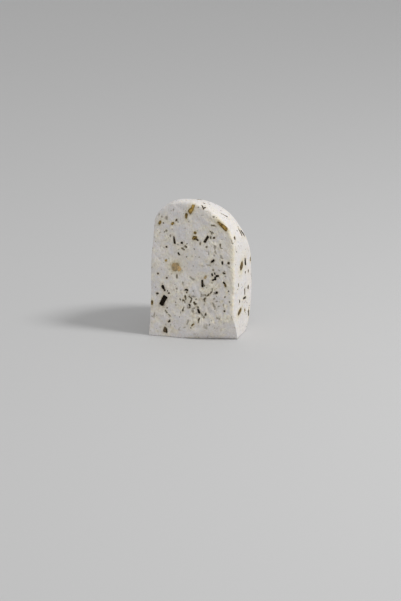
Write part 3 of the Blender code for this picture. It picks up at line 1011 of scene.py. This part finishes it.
@dataclass
class HerbPieces:
    """All bedded pieces of one kind as one mesh."""

    kind: HerbKind
    herbs: Sequence[Herb]
    curd: Curd
    settle_reach: float = 0.0072
    settle_bell: float = 0.0005
    bend_reach: float = 0.0045
    bend_drop: float = 0.0018

    def build(self) -> Item:
        """Make the joined mesh, each piece of it rings of points about its middle.

        The outline is a superellipse of the piece's squareness made ragged by seeded waves, the
        top is a low dome with wrinkles, and the last ring drops into the curd, where a bottom
        closes it.

        Returns:
            The mesh object.
        """
        shape = HERB_SHAPES[self.kind]
        count, sectors = len(self.herbs), shape.sectors
        draw = np.random.default_rng(count + sectors)
        length, width, power, taper, slant, tone = (
            np.array([getattr(herb, name) for herb in self.herbs])[:, None]
            for name in ("length", "width", "squareness", "taper", "slant", "tone"))
        angle = np.linspace(0, 2 * math.pi, sectors, endpoint=False)[None]
        cos, sin = np.cos(angle), np.sin(angle)
        outline = (np.abs(cos) ** power + np.abs(sin) ** power) ** (-1 / power)
        for wave in (2, 3, 4, 7):
            size = shape.ragged * draw.uniform(0.2, 1, (count, 1)) / math.sqrt(wave)
            outline = outline * (1 + size * np.sin(wave * angle + draw.uniform(0, 2 * math.pi, (count, 1))))
        far, wide = outline * cos, outline * sin
        wide = wide * (1 + taper * far)
        far = far + slant * wide * width / length
        rings = np.array([0.0, *shape.rings, 1.0, 1.0])[None, :, None]
        along = length[..., None] / 2 * rings * far[:, None]
        side = width[..., None] / 2 * rings * wide[:, None]
        levels = [*(shape.proud * (1 - ring ** 4) for ring in rings[0, :-2, 0]), 0.0, -shape.sunk]
        tilt = draw.normal(0, 0.02, (count, 2, 1, 1))
        up = np.array(levels)[None, :, None] + tilt[:, 0] * along + tilt[:, 1] * side
        crease = draw.uniform(0.0011, 0.0019, (count, 1, 1))
        lean = draw.uniform(0, math.pi, (count, 1, 1))
        folds = np.sin((along * np.cos(lean) + side * np.sin(lean)) / crease * 2 * math.pi)
        up = up + shape.wrinkle * folds * (rings < 1)

        middle, normal = (np.array([getattr(h, key)[:] for h in self.herbs]) for key in ("point", "normal"))
        axes = np.array([[axis[:] for axis in h.axes()] for h in self.herbs])
        up = up - self._fall(along, side, middle, axes, normal)
        points = (middle[:, None, None] + along[..., None] * axes[:, 0, None, None]
                  + side[..., None] * axes[:, 1, None, None] + up[..., None] * normal[:, None, None])
        flat_normals = np.broadcast_to(normal[:, None, None], points.shape).reshape(-1, 3)
        settled = self._settled(points.reshape(count, -1, 3), middle)
        points = self.curd.warp(points.reshape(-1, 3), flat_normals) + settled.reshape(-1, 3)
        return self._mesh(points, rings[0, :, 0], tone[:, 0], sectors)

    def _near(self, middle: Array, reach: float) -> Array:
        """Numbers of the skin's vertices within reach of a piece's middle."""
        away = self.curd.skin.points - middle
        return np.flatnonzero(np.einsum("ij,ij->i", away, away) < reach ** 2)

    def _settled(self, points: Array, middle: Array) -> Array:
        """How far the rounding of the cut's edges moved the skin, as a bell-weighted mean.

        Args:
            points: Points of each piece.
            middle: Their middles.

        Returns:
            One vector for each point.
        """
        moved = np.zeros_like(points)
        for number, places in enumerate(points):
            near = self._near(middle[number], self.settle_reach)
            gap = np.linalg.norm(places[:, None] - self.curd.skin.points[near][None], axis=2)
            weight = np.exp(-(gap / self.settle_bell) ** 2) + 1e-12
            moved[number] = weight @ self.curd.settled[near] / weight.sum(axis=1, keepdims=True)
        return moved

    def _fall(self, along: Array, side: Array, middle: Array, axes: Array, normal: Array) -> Array:
        """How far the skin falls away from the pieces' flat planes, by quadratics fitted to it.

        Args:
            along: Places along the pieces.
            side: Places across them.
            middle: Their middles.
            axes: Their two directions.
            normal: Their normals.

        Returns:
            The fall at each place.
        """
        fall = np.zeros_like(along)
        for number in range(len(middle)):
            near = self.curd.skin.points[self._near(middle[number], self.bend_reach)] - middle[number]
            u, v = near @ axes[number, 0], near @ axes[number, 1]
            drop = -(near @ normal[number])
            terms = np.stack([u * u, u * v, v * v], axis=-1)
            flat = drop < self.bend_drop
            factors = np.linalg.lstsq(terms[flat], drop[flat], rcond=None)[0]
            a, b = along[number], side[number]
            fall[number] = factors[0] * a * a + factors[1] * a * b + factors[2] * b * b
        return fall

    def _mesh(self, points: Array, rings: Array, tone: Array, sectors: int) -> Item:
        """Put the rings of all pieces into one mesh, the poles closed.

        Args:
            points: Ring points of all pieces.
            rings: How far out each ring is.
            tone: How light each piece is.
            sectors: Points in each ring.

        Returns:
            The mesh object, with attributes for the tone and for how far out a point is.
        """
        count = len(tone)
        grid = points.reshape(count, len(rings), sectors, 3)
        block = np.concatenate(
            [grid[:, :1, 0], grid[:, 1:].reshape(count, -1, 3), grid[:, -1:].mean(axis=2)], axis=1)
        size = block.shape[1]
        here = np.arange(sectors)
        after = (here + 1) % sectors
        low = 1 + np.arange(len(rings) - 2)[:, None] * sectors
        walls = np.stack([low + here, low + sectors + here, low + sectors + after, low + after], axis=-1)
        last = size - 1 - sectors
        fans = np.concatenate([
            np.stack([0 * here, 1 + here, 1 + after], axis=-1),
            np.stack([last + here, 0 * here + size - 1, last + after], axis=-1)])
        start = np.arange(count)[:, None, None] * size
        faces = (start + walls.reshape(-1, 4)).reshape(-1, 4).tolist()
        faces += (start + fans).reshape(-1, 3).tolist()
        out = np.tile(np.concatenate([[0.0], np.repeat(rings[1:], sectors), [1.0]]), count)
        marks = {"tone": np.repeat(tone, size), "out": out}
        item = mesh_item(self.kind.value, block.reshape(-1, 3), faces, marks)
        item.data.set_sharp_from_angle(angle=math.radians(50))
        return item


def operator(operation: str, swapped: bool = False) -> Callable[["Socket", Any], "Socket"]:
    """Make an operator that adds a Math node, with its values swapped where it is reflected.

    Args:
        operation: What the node does.
        swapped: Whether the other value comes first.

    Returns:
        The method.
    """
    def apply(self: "Socket", other: Any) -> "Socket":
        """Add the Math node."""
        values = (other, self) if swapped else (self, other)
        return self.shader.add("ShaderNodeMath", {"operation": operation}, dict(enumerate(values)))

    return apply


@dataclass
class Socket:
    """A node's output, on which Python's operators add Math nodes."""

    shader: "Nodes"
    output: Any

    __add__, __radd__ = operator("ADD"), operator("ADD", swapped=True)
    __sub__, __rsub__ = operator("SUBTRACT"), operator("SUBTRACT", swapped=True)
    __mul__, __rmul__ = operator("MULTIPLY"), operator("MULTIPLY", swapped=True)

    def clamp(self) -> "Socket":
        """The value held between 0 and 1."""
        return self.shader.add("ShaderNodeClamp", {}, {"Value": self})

    def step(self, low: float, high: float) -> "Socket":
        """0 below low, 1 above high, smooth between."""
        values = {"Value": self, "From Min": low, "From Max": high}
        return self.shader.add("ShaderNodeMapRange", {"interpolation_type": "SMOOTHSTEP"}, values)


class Nodes:
    """Builds one material's nodes."""

    def __init__(self, name: str) -> None:
        """Make an empty Principled material of that name.

        Args:
            name: Name of the material.
        """
        self.material = bpy.data.materials.new(name)
        self.material.use_nodes = True
        self.tree = self.material.node_tree
        self.principled = self.tree.nodes["Principled BSDF"]

    def add(self, kind: str, settings: dict[str, Any], values: dict[Any, Any], output: Any = 0) -> Socket:
        """Add a node.

        Args:
            kind: Its type.
            settings: Its properties, set first.
            values: Values or links of its sockets, by name or number.
            output: Which output to hand back.

        Returns:
            The chosen output.
        """
        node = self.tree.nodes.new(kind)
        for name, value in settings.items():
            setattr(node, name, value)
        for name, value in values.items():
            self._feed(node.inputs[name], value)
        return Socket(self, node.outputs[output])

    def _feed(self, socket: Any, value: Any) -> None:
        """Link or set one socket.

        Args:
            socket: Input of a node.
            value: Link or plain value.
        """
        if isinstance(value, Socket):
            self.tree.links.new(value.output, socket)
        else:
            socket.default_value = value

    def place(self) -> Socket:
        """Object coordinates."""
        return self.add("ShaderNodeTexCoord", {}, {}, "Object")

    def attribute(self, name: str) -> Socket:
        """A number stored on the mesh."""
        return self.add("ShaderNodeAttribute", {"attribute_name": name}, {}, "Fac")

    def stain(self, name: str, gain: Any) -> Socket:
        """A number stored on the mesh, times a gain, held between 0 and 1."""
        return (self.attribute(name) * gain).clamp()

    def noise(self, scale: float, detail: float = 3.0, roughness: float = 0.55, **extra: Any) -> Socket:
        """Noise on object coordinates, or on the Vector given.

        Args:
            scale: Waves in a metre.
            detail: Finer layers.
            roughness: Share of those.
            extra: Other inputs by name.

        Returns:
            The noise from 0 to 1.
        """
        values = {"Vector": extra.pop("Vector", None) or self.place(), **extra}
        values.update(Scale=scale, Detail=detail, Roughness=roughness)
        return self.add("ShaderNodeTexNoise", {}, values)

    def mix(self, factor: Any, first: Any, second: Any, blend: str = "MIX") -> Socket:
        """Blend two colours."""
        return self.add("ShaderNodeMix", {"data_type": "RGBA", "blend_type": blend},
                        {0: factor, 6: first, 7: second}, 2)

    def bump(self, height: Socket, distance: float, strength: float, **under: Socket) -> Socket:
        """Turn a height into a normal, over the Normal given."""
        return self.add(
            "ShaderNodeBump", {}, {"Height": height, "Distance": distance, "Strength": strength, **under})

    def finish(self, **values: Any) -> bpy.types.Material:
        """Set the shader's own sockets, with _ for a space in their names.

        Args:
            values: Those sockets.

        Returns:
            The material.
        """
        for name, value in values.items():
            self._feed(self.principled.inputs[name.replace("_", " ")], value)
        return self.material


def rgb(red: float, green: float, blue: float) -> Colour:
    """An opaque colour in linear light."""
    return red, green, blue, 1.0


@dataclass(frozen=True)
class CurdFinish:
    """Moist matt white curd, ivory where it is crumbly and stained by the herbs, with painted shade in pits
    and crumb gaps, painted highlights on the crumb and round the pits, and a painted edge shade tint.
    """

    fresh: Colour = rgb(0.815, 0.787, 0.783)
    # Cream of crumbly curd and round the herbs; also the painted highlight round the pits and the painted
    # shade tint along the right edge.
    ivory_and_painted_light: Colour = rgb(0.940, 0.855, 0.650)
    # Painted shade in the pits and crevices.
    deep: Colour = rgb(0.085, 0.054, 0.006)
    olive: Colour = rgb(0.560, 0.470, 0.250)
    brown: Colour = rgb(0.430, 0.340, 0.250)
    fleck: Colour = rgb(0.330, 0.320, 0.250)
    # Grain tone; also painted shade in the gaps between crumbs.
    grain: Colour = rgb(0.500, 0.450, 0.390)
    # Painted highlight on the crumb.
    painted_crumb_light: Colour = rgb(0.980, 0.930, 0.820)

    def material(self) -> bpy.types.Material:
        """Make the curd's material.

        Returns:
            The material.
        """
        n = Nodes("curd")
        cloud = n.noise(60.0, 4.0).step(0.38, 0.68)
        mottle = n.noise(430.0, 3.0, 0.6).step(0.44, 0.70)
        # Painted crumb light: a highlight on the peaks of this noise, painted shade in its troughs.
        crumb_light_noise = n.noise(400.0, 2.0, 0.6)
        crumb_gap_shade = (1 - crumb_light_noise.step(0.34, 0.47)) * 0.45
        drawn = n.add("ShaderNodeMapping", {}, {"Vector": n.place(), "Scale": (1.0, 1.0, 0.55)})
        grain = n.noise(900.0, 2.0, Vector=drawn).step(0.46, 0.66)
        dots = n.add("ShaderNodeTexVoronoi", {}, {"Vector": n.place(), "Scale": 330.0}, "Distance")
        flecks = (1 - dots.step(0.10, 0.26)) * n.noise(190.0, 1.0).step(0.54, 0.62)
        colour: Any = self.fresh
        for share, tint in (
            (cloud * 0.22, self.ivory_and_painted_light),
            # Cream tint of crumbly curd and round the herbs, with a painted cream highlight round the pits
            # and a cream tint painted along the right edge for the shade there.
            (n.stain("ivory_and_painted_light", 0.6 + mottle * 0.4), self.ivory_and_painted_light),
            (mottle * 0.10, self.brown),
            # Painted highlight on the crumb.
            (n.stain("painted_crumb_light", crumb_light_noise.step(0.48, 0.60)), self.painted_crumb_light),
            # Painted shade in the gaps between crumbs.
            (n.stain("painted_crumb_light", crumb_gap_shade), self.grain),
            (n.stain("olive", 0.72), self.olive),
            (n.stain("brown", 0.45), self.brown),
            # Painted shade in the pits and crevices.
            (n.stain("painted_pit_shade", 0.95), self.deep),
            (flecks * 0.62, self.fleck),
            (grain * 0.16, self.grain),
        ):
            colour = n.mix(share, colour, tint)
        rise = n.noise(520.0, 3.0, Vector=drawn) * (1 + n.attribute("ivory_and_painted_light") * 0.9)
        lumps = n.bump(rise, 0.0008, 0.75)
        return n.finish(
            Base_Color=colour, Roughness=0.50 + n.noise(260.0, 2.0) * 0.2, Subsurface_Weight=0.10,
            Normal=n.bump(n.noise(1150.0, 4.0, 0.6), 0.00022, 0.5, Normal=lumps),
            Subsurface_Radius=(1.0, 0.78, 0.55), Subsurface_Scale=0.0014, Specular_IOR_Level=0.35)


@dataclass(frozen=True)
class HerbFinish:
    """A bedded herb: two colours mixed by its tone and streaks, with a dim rim."""

    name: str
    dark: Colour
    light: Colour
    roughness: float
    streak_scale: float
    gloss: float
    rim: float
    streaked: float

    def material(self) -> bpy.types.Material:
        """Make the herb's material.

        Returns:
            The material.
        """
        n = Nodes(self.name)
        streaks = n.noise(self.streak_scale, 3.0, 0.6, Distortion=0.8).step(0.36, 0.64)
        share = (streaks * self.streaked + n.attribute("tone") - self.streaked / 2).clamp()
        share = share * (1 - n.attribute("out").step(0.35, 0.95) * self.rim)
        normal = n.bump(n.noise(self.streak_scale * 2.2, 3.0), 0.00025, 0.6)
        return n.finish(
            Base_Color=n.mix(share, self.dark, self.light), Roughness=self.roughness + streaks * 0.2,
            Normal=normal, Specular_IOR_Level=self.gloss)


HERB_FINISHES = {
    STEM: HerbFinish(
        "dried_stem", rgb(0.006, 0.003, 0.001), rgb(0.170, 0.125, 0.075), 0.60, 700.0, 0.12, 0.3, 0.35),
    LEAF: HerbFinish(
        "olive_leaf", rgb(0.085, 0.050, 0.010), rgb(0.680, 0.440, 0.110), 0.48, 480.0, 0.25, 0.60, 0.6),
    PEPPER: HerbFinish(
        "yellow_pepper", rgb(0.320, 0.255, 0.150), rgb(0.720, 0.480, 0.220), 0.45, 300.0, 0.3, 0.0, 0.5),
    SPECK: HerbFinish(
        "herb_speck", rgb(0.012, 0.009, 0.005), rgb(0.260, 0.225, 0.155), 0.60, 600.0, 0.15, 0.2, 0.3),
}


@dataclass(frozen=True)
class Studio:
    """Pale floor, soft light from the right, and a long lens a little above the piece."""

    lens_pixels: float = 2600.0
    frame_width: int = 401
    frame_height: int = 601
    metres_per_pixel: float = 0.0008126
    turn: float = 17.5
    elevation: float = 15.4
    foot_pixel: Pair = (191.0, 338.6)
    sensor: float = 36.0
    floor_grey: float = 0.60
    floor_reach: float = 8.0
    floor_gap: float = 0.0002
    world_strength: float = 0.535
    key_place: tuple[float, float, float] = (1.33, -0.13, 1.48)
    key_size: float = 0.50
    key_power: float = 19.3

    def camera(self, foot: Vector) -> None:
        """Put the camera where the middle of the cut's lower edge falls on its pixel.

        Args:
            foot: That point.
        """
        turn, rise = math.radians(self.turn), math.radians(self.elevation)
        right = Vector((math.cos(turn), math.sin(turn), 0))
        ahead = Vector((-math.sin(turn) * math.cos(rise), math.cos(turn) * math.cos(rise), -math.sin(rise)))
        aside = (self.foot_pixel[0] - self.frame_width / 2) * self.metres_per_pixel
        below = (self.foot_pixel[1] - self.frame_height / 2) * self.metres_per_pixel
        away = self.lens_pixels * self.metres_per_pixel
        data = bpy.data.cameras.new("camera")
        data.sensor_width = self.sensor
        data.lens = self.lens_pixels / self.frame_height * self.sensor
        data.clip_start, data.clip_end = 0.05, 60.0
        camera = link("camera", data)
        camera.location = foot - right * aside + right.cross(ahead) * below - ahead * away
        self._aim(camera, ahead)
        bpy.context.scene.camera = camera

    @staticmethod
    def _aim(item: Item, ahead: Vector) -> None:
        """Turn a camera or light to look in a direction."""
        item.rotation_mode = "QUATERNION"
        item.rotation_quaternion = ahead.to_track_quat("-Z", "Y")

    def floor(self) -> Item:
        """A wide pale floor just under the base.

        Returns:
            The floor.
        """
        reach, drop = self.floor_reach, -self.floor_gap
        corners = [(x * reach, y * reach, drop) for x, y in ((-1, -1), (1, -1), (1, 1), (-1, 1))]
        floor = mesh_item("floor", np.array(corners), [(0, 1, 2, 3)], {})
        matt = Nodes("floor").finish(Base_Color=rgb(*3 * (self.floor_grey,)), Roughness=0.9)
        floor.data.materials.append(matt)
        return floor

    def lights(self) -> None:
        """Soft white surroundings, and a large soft key from the right and above."""
        world = bpy.data.worlds.new("studio")
        bpy.context.scene.world = world
        world.use_nodes = True
        background = world.node_tree.nodes["Background"].inputs
        background["Color"].default_value = (1.0, 1.0, 1.0, 1.0)
        background["Strength"].default_value = self.world_strength
        data = bpy.data.lights.new("key", "AREA")
        data.shape, data.size, data.energy = "DISK", self.key_size, self.key_power
        key = link("key", data)
        key.location = self.key_place
        self._aim(key, Vector((0, 0, 0.05)) - key.location)


def dress(piece: Item, material: bpy.types.Material) -> None:
    """Give a piece its material, slot and body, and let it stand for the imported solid.

    Args:
        piece: Built object.
        material: What it is made of.
    """
    piece.data.materials.append(material)
    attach(piece, BODY)
    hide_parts(NODE)
    log.info("%s: %d faces", piece.name, len(piece.data.polygons))


def main() -> None:
    """Build the cheese, its herbs and the studio."""
    logging.basicConfig(level=logging.INFO, format="%(name)s %(message)s")
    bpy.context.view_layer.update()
    bpy.context.scene.view_settings.view_transform = "Standard"

    wheel = Wheel()
    curd = Curd(wheel, Grid())
    spread = HerbSpread(wheel, curd.skin.shift, curd.tree)
    herbs, specks = spread.large(), spread.specks()
    dress(curd.build(herbs, specks), CurdFinish().material())
    for kind in HerbKind:
        chosen = specks if kind is SPECK else [herb for herb in herbs if herb.kind is kind]
        dress(HerbPieces(kind, chosen, curd).build(), HERB_FINISHES[kind].material())

    studio = Studio()
    studio.floor()
    studio.lights()
    studio.camera(-curd.skin.shift)


if __name__ == "__main__":
    main()
